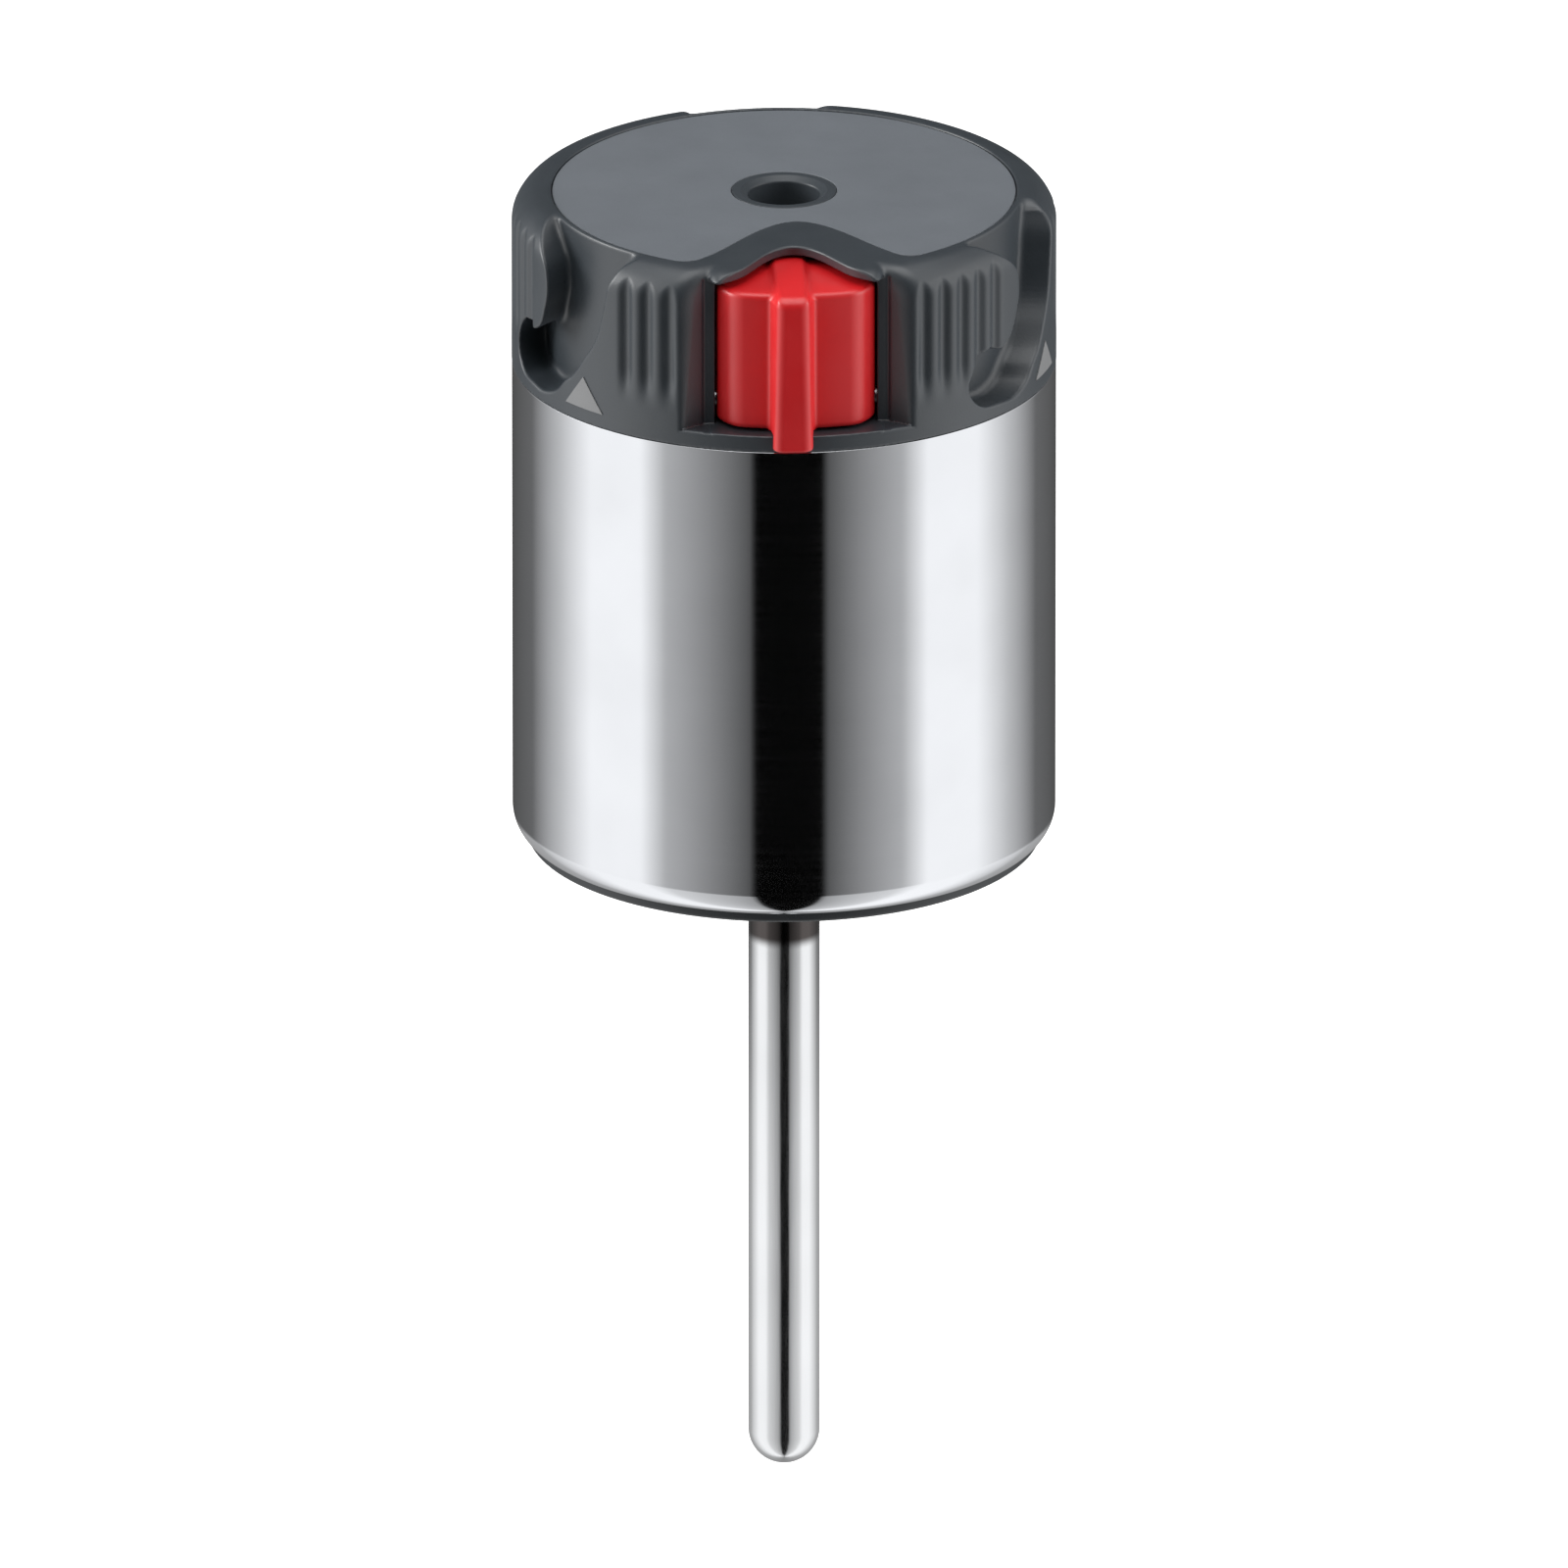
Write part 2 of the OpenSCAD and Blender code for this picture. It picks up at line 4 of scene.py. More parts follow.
import bmesh
import bpy
import numpy as np
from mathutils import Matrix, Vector


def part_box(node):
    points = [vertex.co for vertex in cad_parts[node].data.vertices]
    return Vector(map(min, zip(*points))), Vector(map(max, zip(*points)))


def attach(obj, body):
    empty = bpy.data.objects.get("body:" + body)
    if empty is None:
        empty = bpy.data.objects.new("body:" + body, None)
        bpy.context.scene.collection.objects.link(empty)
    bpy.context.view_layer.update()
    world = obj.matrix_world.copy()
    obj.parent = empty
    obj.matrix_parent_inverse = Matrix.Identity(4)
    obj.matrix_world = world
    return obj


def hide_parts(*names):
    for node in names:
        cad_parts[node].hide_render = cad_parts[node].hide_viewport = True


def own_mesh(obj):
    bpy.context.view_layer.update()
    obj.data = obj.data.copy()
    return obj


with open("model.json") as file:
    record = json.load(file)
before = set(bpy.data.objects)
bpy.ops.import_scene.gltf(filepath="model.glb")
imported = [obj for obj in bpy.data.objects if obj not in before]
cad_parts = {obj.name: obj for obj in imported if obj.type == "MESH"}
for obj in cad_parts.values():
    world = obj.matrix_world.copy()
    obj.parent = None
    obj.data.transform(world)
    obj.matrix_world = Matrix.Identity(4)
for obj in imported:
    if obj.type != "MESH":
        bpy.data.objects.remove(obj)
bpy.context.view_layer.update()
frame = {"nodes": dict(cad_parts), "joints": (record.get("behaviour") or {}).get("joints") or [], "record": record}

MM = 0.001
NODES = frame["nodes"]
RECORD = frame["record"]
MOUNTS = {m["name"]: m for m in RECORD["mounts"]}


# ---------------------------------------------------------------- sizes, in millimetres

def node_box(node):
    low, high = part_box(node)
    return np.array(low) / MM, np.array(high) / MM


cap_low, cap_high = node_box("cap_shell")
can_low, can_high = node_box("body_can")
plate_low, plate_high = node_box("top_plate")
bezel_low, bezel_high = node_box("socket_bezel")
sheath_low, sheath_high = node_box("probe_sheath")
latch_low, latch_high = node_box("latch_button")

CAP_R, CAP_TOP, SPIGOT_Z = cap_high[0], cap_high[2], cap_low[2]
CAN_R, CAN_BOTTOM, CAN_TOP = can_high[0], can_low[2], can_high[2]
PLATE_R, PLATE_TOP, DECK_TOP = plate_high[0], plate_high[2], plate_low[2]
BEZEL_R, BEZEL_LOW = bezel_high[0], bezel_low[2]
STEM_R = MOUNTS["probe_stem"]["dims"]["r_mm"]
SOCKET_R = MOUNTS["socket"]["dims"]["r_mm"]
STEM_TIP, SHEATH_TOP, SHEATH_FLANGE = sheath_low[2], sheath_high[2], sheath_high[0]
LATCH_HALF, RIB_LOW, RIB_TOP, RIB_FRONT = latch_high[0], latch_low[2], latch_high[2], -latch_low[1]
HINGE = np.array(frame["joints"][0]["pos_m"]) / MM

CAN_WALL = 0.8
STEM_WALL = 0.6
SHOULDER_ARC = 4.07
SHOULDER_Z = CAP_TOP - 4.0
CAVITY_R = 25.0
DECK_LOW = DECK_TOP - 1.7
RECESS_Z = CAN_TOP + 1.9
RECESS_HALF = 10.4
CHEEK_IN = 9.05
NOTCH_HALF = 14.2
NOTCH_APEX = -10.4
NOTCH_DEPTH = 12.7
NOTCH_X = 0.8
BROW_UNDER = CAP_TOP - 1.2
POST_RING = 22.0
POST_R = 3.4
GROOVE_AZ = (-60.0, 60.0, 180.0)
VALLEYS = ((21.5, 31.9), (-32.0, -12.0))
FLUTE_LOW = 59.8
FLUTE_PITCH = 5.1
FLUTE_DEPTH = 0.55


# ---------------------------------------------------------------- small geometry tools

def smooth_max(a, b, k):
    """The larger of two distances, with the edge between them rounded over about k."""
    h = np.clip(0.5 + 0.5 * (a - b) / k, 0, 1)
    return b + (a - b) * h + k * h * (1 - h)


def smooth_min(a, b, k):
    return -smooth_max(-a, -b, k)


def rounded(points, radii, steps=6, closed=True):
    """A polyline with each corner turned into an arc of its own radius."""
    out = []
    count = len(points)
    for i, (p, radius) in enumerate(zip(points, radii)):
        p = np.array(p, float)
        if radius <= 0 or (not closed and i in (0, count - 1)):
            out.append(p)
            continue
        before = np.array(points[i - 1], float) - p
        after = np.array(points[(i + 1) % count], float) - p
        before_len, after_len = np.linalg.norm(before), np.linalg.norm(after)
        before, after = before / before_len, after / after_len
        half = math.acos(float(np.clip(before @ after, -1, 1))) / 2
        reach = min(radius / math.tan(half), 0.49 * before_len, 0.49 * after_len)
        radius = reach * math.tan(half)
        mid = (before + after) / np.linalg.norm(before + after)
        centre = p + mid * radius / math.sin(half)
        a, b = p + before * reach - centre, p + after * reach - centre
        turn = math.atan2(a[0] * b[1] - a[1] * b[0], a @ b)
        for s in range(steps + 1):
            t = turn * s / steps
            out.append(centre + np.array([a[0] * math.cos(t) - a[1] * math.sin(t),
                                          a[0] * math.sin(t) + a[1] * math.cos(t)]))
    return out


def arc(cx, cy, radius, a0, a1, steps=24):
    angles = np.radians(np.linspace(a0, a1, steps + 1))
    return [(cx + radius * math.cos(t), cy + radius * math.sin(t)) for t in angles]


def add_piece(name, verts, faces, body, stands_for, normals=None):
    """A smooth mesh object, given in millimetres, that rides on a body and replaces CAD nodes."""
    mesh = bpy.data.meshes.new(name)
    mesh.from_pydata((np.asarray(verts, float) * MM).tolist(), [], [list(f) for f in faces])
    mesh.validate()
    mesh.polygons.foreach_set("use_smooth", [True] * len(mesh.polygons))
    if normals is not None:
        mesh.normals_split_custom_set_from_vertices(np.asarray(normals, float).tolist())
    mesh.update()
    obj = bpy.data.objects.new(name, mesh)
    bpy.context.scene.collection.objects.link(obj)
    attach(obj, body)
    if stands_for:
        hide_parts(*stands_for)
    return obj


def lathe(name, profile, body, stands_for, segments=192):
    """Turns a closed outline of (radius, height) points about the Z axis.
    Corners are already arcs, so a corner's normal is the mean of its two sides'."""
    profile = [np.array(p, float) for p in profile]
    count = len(profile)
    area = sum(p[0] * q[1] - q[0] * p[1] for p, q in zip(profile, profile[1:] + profile[:1]))
    if area < 0:
        profile.reverse()
    side = []
    for i in range(count):
        d = profile[(i + 1) % count] - profile[i]
        length = max(np.linalg.norm(d), 1e-9)
        side.append((np.array([d[1], -d[0]]) / length, length))
    verts, normals, rings = [], [], []
    for i, p in enumerate(profile):
        (n0, w0), (n1, w1) = side[i - 1], side[i]
        n = n0 * w0 + n1 * w1
        n = n / max(np.linalg.norm(n), 1e-9)
        if p[0] < 1e-6:
            rings.append([len(verts)] * segments)
            verts.append((0, 0, p[1]))
            normals.append((0, 0, math.copysign(1, n[1])))
            continue
        rings.append(list(range(len(verts), len(verts) + segments)))
        for s in range(segments):
            c, d = math.cos(2 * math.pi * s / segments), math.sin(2 * math.pi * s / segments)
            verts.append((p[0] * c, p[0] * d, p[1]))
            normals.append((n[0] * c, n[0] * d, n[1]))
    faces = []
    for i in range(count):
        a, b = rings[i], rings[(i + 1) % count]
        if a[0] == a[1] and b[0] == b[1]:
            continue
        for s in range(segments):
            t = (s + 1) % segments
            loop = [a[s], a[t], b[t], b[s]]
            loop = [v for j, v in enumerate(loop) if v != loop[j - 1]]
            faces.append(loop)
    return add_piece(name, verts, faces, body, stands_for, normals)


# ---------------------------------------------------------------- solids from a distance field

CORNERS = np.array([(i, j, k) for i in (0, 1) for j in (0, 1) for k in (0, 1)])
EDGES = [(a, b) for a in range(8) for b in range(a + 1, 8)
         if np.abs(CORNERS[a] - CORNERS[b]).sum() == 1]


def field_grid(field, low, high, step):
    axes = [np.arange(low[i], high[i] + step, step) for i in range(3)]
    x, y = np.meshgrid(axes[0], axes[1], indexing="ij")
    values = np.empty((len(axes[0]), len(axes[1]), len(axes[2])), np.float32)
    for k, z in enumerate(axes[2]):
        values[:, :, k] = field(x, y, np.full_like(x, z))
    return values


def surface_net(field, low, high, step):
    """Vertices and quads of the field's zero surface, one vertex in each cell that it crosses."""
    values = field_grid(field, low, high, step)
    inside = values < 0
    nx, ny, nz = (s - 1 for s in values.shape)
    count = np.zeros((nx, ny, nz), np.int8)
    for i, j, k in CORNERS:
        count += inside[i:i + nx, j:j + ny, k:k + nz]
    cells = np.argwhere((count > 0) & (count < 8))
    index = np.full((nx, ny, nz), -1, np.int64)
    index[tuple(cells.T)] = np.arange(len(cells))
    corner = [values[tuple((cells + c).T)] for c in CORNERS]
    total = np.zeros((len(cells), 3))
    hits = np.zeros(len(cells))
    for a, b in EDGES:
        crossed = (corner[a] < 0) != (corner[b] < 0)
        share = np.where(crossed, corner[a] / np.where(crossed, corner[a] - corner[b], 1), 0)
        point = CORNERS[a] + share[:, None] * (CORNERS[b] - CORNERS[a])
        total += point * crossed[:, None]
        hits += crossed
    verts = np.array(low) + (cells + total / hits[:, None]) * step
    faces = []
    for axis in range(3):
        u, v = (axis + 1) % 3, (axis + 2) % 3
        ahead = np.roll(inside, -1, axis)
        change = inside != ahead
        span = [slice(1, n) for n in values.shape]
        span[axis] = slice(0, values.shape[axis] - 1)
        span[u] = slice(1, values.shape[u] - 1)
        span[v] = slice(1, values.shape[v] - 1)
        offset = np.array([s.start for s in span])
        edges = np.argwhere(change[tuple(span)]) + offset
        ring = []
        for du, dv in ((-1, -1), (0, -1), (0, 0), (-1, 0)):
            cell = edges.copy()
            cell[:, u] += du
            cell[:, v] += dv
            ring.append(index[tuple(cell.T)])
        quads = np.stack(ring, 1)
        flip = ~inside[tuple(edges.T)]
        quads[flip] = quads[flip][:, ::-1]
        faces.append(quads)
    return verts, np.concatenate(faces)


def gradient(field, points, eps=0.03):
    columns = []
    for axis in range(3):
        shift = np.zeros(3)
        shift[axis] = eps
        ahead, behind = points + shift, points - shift
        columns.append(field(*ahead.T) - field(*behind.T))
    return np.stack(columns, 1) / (2 * eps)


def settle(field, points, reach, rounds=3):
    """Moves points onto the field's zero surface, each by no more than reach."""
    start = points.copy()
    for _ in range(rounds):
        slope = gradient(field, points)
        size = np.maximum((slope ** 2).sum(1), 0.05)
        points = points - slope * (field(*points.T) / size)[:, None]
    moved = points - start
    length = np.linalg.norm(moved, axis=1, keepdims=True)
    return start + moved * np.minimum(1, reach / np.maximum(length, 1e-9))


def field_piece(name, field, low, high, step, keep, body, stands_for):
    """Meshes a distance field, thins the mesh and gives it the field's own normals."""
    verts, faces = surface_net(field, low, high, step)
    verts = settle(field, verts, 0.6 * step)
    obj = add_piece(name, verts, faces, body, stands_for)
    thin = obj.modifiers.new("thin", "DECIMATE")
    thin.ratio = keep
    graph = bpy.context.evaluated_depsgraph_get()
    mesh = bpy.data.meshes.new_from_object(obj.evaluated_get(graph))
    obj.modifiers.clear()
    obj.data = mesh
    points = np.empty(len(mesh.vertices) * 3)
    mesh.vertices.foreach_get("co", points)
    points = settle(field, points.reshape(-1, 3) / MM, 0.3 * step, 2)
    mesh.vertices.foreach_set("co", (points * MM).ravel())
    slope = gradient(field, points)
    slope /= np.maximum(np.linalg.norm(slope, axis=1, keepdims=True), 1e-9)
    mesh.polygons.foreach_set("use_smooth", [True] * len(mesh.polygons))
    mesh.normals_split_custom_set_from_vertices(slope.tolist())
    mesh.update()
    return obj


# ---------------------------------------------------------------- cap

# Outline of a bayonet groove: (angle to the right of its axis, height) on the cap's surface
GROOVE_OUTLINE = (
    (20, 78), (18.4, 75.7), (16.5, 73.5), (15.4, 70.8), (13.3, 67), (9.5, 64), (6.3, 61.8),
    (3.2, 60.5), (0, 58.9), (-5, 58), (-10, 58.1), (-15.2, 58.4), (-18.6, 59.7), (-19.6, 61.6),
    (-17.1, 63.9), (-14.5, 64.9), (-12, 64.9), (-9.5, 64.5), (-6, 65.7), (-4, 68), (-3, 70),
    (-3.5, 72.5), (-6, 74.4), (-9.7, 76.4), (-10.5, 78),
)
GROOVE_PULL = 20.0
GROOVE_FLOOR = 26.6
TABLE_STEP = 0.1
TABLE_LOW = (-24.0, 55.0)
TABLE_SIZE = (280, 260)


def smooth_loop(points, steps=6):
    """Closed Catmull-Rom curve through the points."""
    p = np.array(points, float)
    out = []
    for i in range(len(p)):
        a, b, c, d = p[i - 1], p[i], p[(i + 1) % len(p)], p[(i + 2) % len(p)]
        for s in range(steps):
            t = s / steps
            out.append(0.5 * (2 * b + (c - a) * t + (2 * a - 5 * b + 4 * c - d) * t * t
                              + (3 * b - 3 * c + d - a) * t ** 3))
    return np.array(out)


def polygon_distance(poly, x, y):
    """Signed distance from points to a polygon, negative inside."""
    best = np.full(x.shape, 1e9)
    inside = np.zeros(x.shape, bool)
    for a, b in zip(poly, np.roll(poly, -1, 0)):
        e = b - a
        t = np.clip(((x - a[0]) * e[0] + (y - a[1]) * e[1]) / (e @ e), 0, 1)
        best = np.minimum(best, np.hypot(x - a[0] - t * e[0], y - a[1] - t * e[1]))
        if a[1] != b[1]:
            crosses = ((a[1] > y) != (b[1] > y)) & (x < a[0] + (y - a[1]) * e[0] / e[1])
            inside ^= crosses
    return np.where(inside, -best, best)


def groove_table():
    """Distance to the groove's outline, seen along the groove's walls."""
    outline = smooth_loop(GROOVE_OUTLINE)
    flat = np.stack([CAP_R * np.sin(np.radians(outline[:, 0] - GROOVE_PULL)), outline[:, 1]], 1)
    w = TABLE_LOW[0] + TABLE_STEP * np.arange(TABLE_SIZE[0])
    z = TABLE_LOW[1] + TABLE_STEP * np.arange(TABLE_SIZE[1])
    return polygon_distance(flat, *np.meshgrid(w, z, indexing="ij"))


GROOVE = groove_table()


def from_table(w, z):
    i = np.clip((w - TABLE_LOW[0]) / TABLE_STEP, 0, TABLE_SIZE[0] - 1.001)
    j = np.clip((z - TABLE_LOW[1]) / TABLE_STEP, 0, TABLE_SIZE[1] - 1.001)
    i0, j0 = i.astype(int), j.astype(int)
    fi, fj = i - i0, j - j0
    return ((GROOVE[i0, j0] * (1 - fi) + GROOVE[i0 + 1, j0] * fi) * (1 - fj)
            + (GROOVE[i0, j0 + 1] * (1 - fi) + GROOVE[i0 + 1, j0 + 1] * fi) * fj)


def groove_field(r, az, z, axis):
    """A bayonet groove: walls cut along one direction down to a round floor."""
    u = (az - axis + 180) % 360 - 180
    wall = from_table(r * np.sin(np.radians(u - GROOVE_PULL)), z)
    return np.maximum(smooth_max(wall, GROOVE_FLOOR - r, 1.0), np.abs(u) - 75)


def flute_depth(az, z):
    """How deep the grip flutes are, which fade out towards the bottom."""
    fade = np.clip((z - FLUTE_LOW) / 5.0, 0, 1)
    fade = fade * fade * (3 - 2 * fade)
    depth = np.zeros_like(az)
    for axis in GROOVE_AZ:
        u = (az - axis + 180) % 360 - 180
        for low, high in VALLEYS:
            pitch = (high - low) / round((high - low) / FLUTE_PITCH)
            wave = 0.5 + 0.5 * np.cos(2 * math.pi * (u - low) / pitch)
            depth = depth + np.where((u > low - pitch / 2) & (u < high + pitch / 2), wave, 0)
    return FLUTE_DEPTH * fade * depth


def notch_angle(x):
    return math.pi * np.minimum(np.abs(x - NOTCH_X), NOTCH_HALF) / NOTCH_HALF


def notch_edge(x):
    """Depth of the top plate's front notch: a bell curve."""
    return NOTCH_APEX - NOTCH_DEPTH * (1 - np.cos(notch_angle(x))) / 2


def plate_plan(x, y, r, margin):
    """The top plate seen from above, grown by margin."""
    slope = NOTCH_DEPTH * math.pi / (2 * NOTCH_HALF) * np.sin(notch_angle(x))
    notch = (notch_edge(x) - y) / np.sqrt(1 + slope ** 2)
    return smooth_max(r - PLATE_R, notch, 0.9) - margin


def line_side(side, y, x0, y0, x1, y1):
    """Distance behind a plan line that runs outwards and forwards."""
    length = math.hypot(x1 - x0, y1 - y0)
    return ((side - x0) * (y0 - y1) + (y - y0) * (x1 - x0)) / length


def recess_field(x, y, z):
    """The latch's recess: a pocket under the brow, and the opening through the brow."""
    side = np.abs(x)
    pocket = np.maximum(side - RECESS_HALF, y + 14.6)
    pocket = np.maximum(pocket, np.minimum(side - CHEEK_IN, y + 25.8))
    pocket = np.maximum(pocket, (side - 5.2) * 0.7203 + (y + 14.6) * 0.6936)
    pocket = smooth_max(pocket, z - BROW_UNDER, 0.3)
    left = line_side(-x, y, 2.8, -20.25, 6.6, -26.7)
    right = line_side(x, y, 2.8, -20.25, 6.6, -26.7)
    brow = smooth_max(line_side(side, y, 6.6, -26.7, 9.3, -27.7),
                      line_side(side, y, 9.3, -27.7, 10.4, -28.6), 0.8)
    brow = smooth_min(smooth_max(left, right, 6.4), brow, 1.5)
    brow = smooth_max(brow, side - RECESS_HALF, 1.2)
    brow = np.maximum(brow, BROW_UNDER - 1 - z)
    return np.maximum(smooth_min(pocket, brow, 0.1), RECESS_Z - z)


def flare_field(x, y, z):
    """Flared sides of the recess, which roll over softly into the cap's surface."""
    side = np.abs(x)
    flare = line_side(side, y, RECESS_HALF, -26, 13, -27.6)
    return np.maximum(smooth_max(flare, 9.8 - side, 0.8), RECESS_Z - z)


def cap_field(x, y, z):
    """The whole cap moulding: outer form, cuts, spigot, inside ribs and screw bosses."""
    r = np.hypot(x, y)
    az = np.degrees(np.arctan2(x, -y))
    outer = np.hypot(np.maximum(r - (CAP_R - SHOULDER_ARC), 0),
                     np.maximum(z - SHOULDER_Z, 0)) - SHOULDER_ARC
    outer = smooth_max(outer, r - (CAP_R - flute_depth(az, z)), 0.3)
    outer = smooth_max(outer, z - CAP_TOP, 0.35)
    outer = smooth_max(outer, CAN_TOP - z, 0.25)
    for axis in GROOVE_AZ:
        outer = smooth_max(outer, -groove_field(r, az, z, axis), 0.4)
    outer = smooth_max(outer, -flare_field(x, y, z), np.interp(z, (60, 72), (0.5, 1.6)))
    outer = smooth_max(outer, -recess_field(x, y, z), 0.25)
    spigot = smooth_max(r - (CAN_R - CAN_WALL - 0.05), SPIGOT_Z - z, 0.2)
    gasket = np.maximum(28.2 - r, np.abs(z - 54.9) - 0.7)
    spigot = np.maximum(np.maximum(spigot, -gasket), z - CAN_TOP - 0.5)
    solid = smooth_min(outer, spigot, 0.05)
    solid = smooth_max(solid, -np.maximum(r - CAVITY_R, z - DECK_LOW), 0.3)
    wall = np.maximum(np.abs(x) - 5, np.abs(y + 13.05) - 0.75)
    solid = np.minimum(solid, np.maximum(np.maximum(wall, 64 - z), z - DECK_LOW - 0.4))
    for axis in GROOVE_AZ:
        a = math.radians(axis)
        post = np.hypot(x - POST_RING * math.sin(a), y + POST_RING * math.cos(a))
        boss = np.maximum(np.maximum(post - POST_R, 68.05 - z), z - DECK_LOW - 0.4)
        solid = smooth_min(solid, boss, 0.2)
        solid = np.maximum(solid, -(post - 1.6))
        solid = smooth_max(solid, -np.maximum(post - 3, 73.1 - z), 0.1)
    seat = np.maximum(plate_plan(x, y, r, 0.1), DECK_TOP - z)
    solid = smooth_max(solid, -seat, 0.22)
    solid = smooth_max(solid, -(r - 5.3), 0.2)
    hinge = np.maximum(np.hypot(y - HINGE[1], z - HINGE[2]) - 1.02, np.abs(x) - 12.5)
    return np.maximum(solid, -hinge)


# ---------------------------------------------------------------- latch

LATCH_FRONT = 29.0
LATCH_BOTTOM = RIB_LOW + 1.65
RIB_X = -0.6
LATCH_ROOF = RIB_TOP - 0.5
LATCH_WALL = 1.8


def latch_plan(x, y, wall, soft):
    """The latch seen from above, drawn in by wall."""
    side = np.abs(x)
    plan = smooth_max(np.hypot(x, y) - LATCH_FRONT + wall, side - LATCH_HALF + wall, soft)
    chamfer = ((side - 7) * 0.818 - (y + 28.2) * 0.576) + wall
    plan = smooth_max(plan, chamfer, soft)
    back = np.maximum(y + 17, (side - 4.5) * 0.715 + (y + 17) * 0.699)
    return smooth_max(plan, back, 0.3)


def rib_half(y, z):
    """Half the rib's width: its sides lean in towards the front and the top."""
    front = np.interp(z, (RIB_LOW, RIB_TOP), (2.15, 1.75))
    flank = front + (2.45 - front) * np.clip((y + RIB_FRONT) / 3.3, 0, 1)
    top = 1.7 + 0.02 * (y + RIB_FRONT)
    share = np.clip((z - LATCH_ROOF + 0.6) / 0.8, 0, 1)
    return flank + (top - flank) * share


def latch_field(x, y, z):
    """The latch: a hollow moulding with a leaning back, a rib down its front and a pin bore."""
    side = np.abs(x)
    body = smooth_max(latch_plan(x, y, 0, 0.8), z - LATCH_ROOF, 0.8)
    body = smooth_max(body, LATCH_BOTTOM - z, 0.8)
    lean = np.where(z > 62.5, (y + 21.4) * 0.886 - (z - 62.5) * 0.464,
                    (y + 21.4) * 0.952 - (z - 62.5) * 0.305)
    lean = np.where(z > LATCH_ROOF - 2.0, np.minimum(lean, y + 16), lean)
    body = smooth_max(body, lean, 0.3)
    inner = np.maximum(latch_plan(x, y, LATCH_WALL, 0.3), z - LATCH_ROOF + LATCH_WALL)
    back = np.maximum(np.maximum(side - LATCH_HALF + LATCH_WALL, -24 - y),
                      z - LATCH_ROOF + LATCH_WALL)
    body = smooth_max(body, -np.minimum(inner, back), 0.3)
    rib = smooth_max(np.abs(x - RIB_X) - rib_half(y, z), -y - RIB_FRONT, 1.1)
    rib = smooth_max(rib, z - RIB_TOP, 0.6)
    rib = smooth_max(rib, ((-y - RIB_FRONT) + (z - RIB_TOP) + 0.7) * 0.7071, 0.5)
    rib = smooth_max(rib, RIB_LOW - z, 0.4)
    rib = np.maximum(rib, y + 17)
    rib = smooth_max(rib, -np.maximum(-(y + 30.8), z - LATCH_BOTTOM), 0.2)
    rib = np.maximum(rib, -np.maximum(-27.6 - y, z - 73.5))
    solid = smooth_min(body, rib, 0.5)
    return np.maximum(solid, -(np.hypot(y - HINGE[1], z - HINGE[2]) - 1.05))


# ---------------------------------------------------------------- pieces

def make_cap():
    margin = 1.0
    low = (-CAP_R - margin, -CAP_R - margin, SPIGOT_Z - margin)
    high = (CAP_R + margin, CAP_R + margin, CAP_TOP + margin)
    step, keep = ((0.25, 0.45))
    return field_piece("cap_moulding", cap_field, low, high, step, keep,
                       "head", ["cap_shell"])


def make_latch():
    margin = 0.6
    low, high = latch_low - margin, latch_high + margin
    return field_piece("latch_moulding", latch_field, low, high, 0.14, 0.5,
                       "latch", ["latch_button"])


def make_can():
    """The can: a drawn tube with a rolled bottom edge and an inward lip."""
    inset, rise = 1.1, 2.5
    sweep = 2 * math.atan(inset / rise)
    roll = rise / math.sin(sweep)
    cx, cz = CAN_R - roll, CAN_BOTTOM + rise
    low = -math.degrees(sweep)
    outer = arc(cx, cz, roll, low, low + 0.4, 1) + arc(cx, cz, roll, low + 1, 0, 22)
    inner = arc(cx, cz, roll - CAN_WALL, 0, low + 10, 16)
    top_in, top_out = CAN_R - CAN_WALL, CAN_R
    lip = rounded([(29.2, CAN_BOTTOM), (26.0, CAN_BOTTOM), (26.0, CAN_BOTTOM + CAN_WALL),
                   (28.4, CAN_BOTTOM + CAN_WALL)], [0, 0.1, 0.1, 0], closed=False)
    rim = rounded([(top_out, CAN_TOP - 1), (top_out, CAN_TOP), (top_in, CAN_TOP),
                   (top_in, CAN_TOP - 1)], [0, 0.15, 0.15, 0], closed=False)
    profile = lip[::-1] + outer + rim + inner
    return lathe("can_shell", profile, "head", ["body_can"], 256)


def make_stem():
    """The immersion stem: a closed tube with a round end and a flange held in the base."""
    bore = STEM_R - STEM_WALL
    centre = STEM_TIP + STEM_R
    outside = arc(0, centre, STEM_R, -90, 0, 32)
    collar = rounded([(STEM_R, -0.5), (STEM_R, 0), (5, 0), (5, 3), (SHEATH_FLANGE, 3),
                      (SHEATH_FLANGE, 4.2), (STEM_R, 4.2), (STEM_R, SHEATH_TOP),
                      (bore, SHEATH_TOP), (bore, SHEATH_TOP - 0.5)],
                     [0, 0.05, 0.2, 0.1, 0.15, 0.15, 0.1, 0.15, 0.1, 0], closed=False)
    inside = arc(0, centre, bore, 0, -90, 16)
    return lathe("immersion_stem", outside + collar + inside, "head",
                 ["probe_sheath"], 128)


def make_bezel():
    profile = rounded(
        [(SOCKET_R, BEZEL_LOW + 2), (SOCKET_R, PLATE_TOP - 0.5), (4.85, PLATE_TOP),
         (BEZEL_R, PLATE_TOP), (BEZEL_R, DECK_TOP), (5.2, DECK_TOP), (5.2, BEZEL_LOW),
         (4.3, BEZEL_LOW), (4.3, BEZEL_LOW + 2)],
        [0.05, 0.3, 0.15, 0.15, 0.05, 0.1, 0.1, 0.1, 0.05])
    return lathe("socket_ring", profile, "head", ["socket_bezel"], 128)


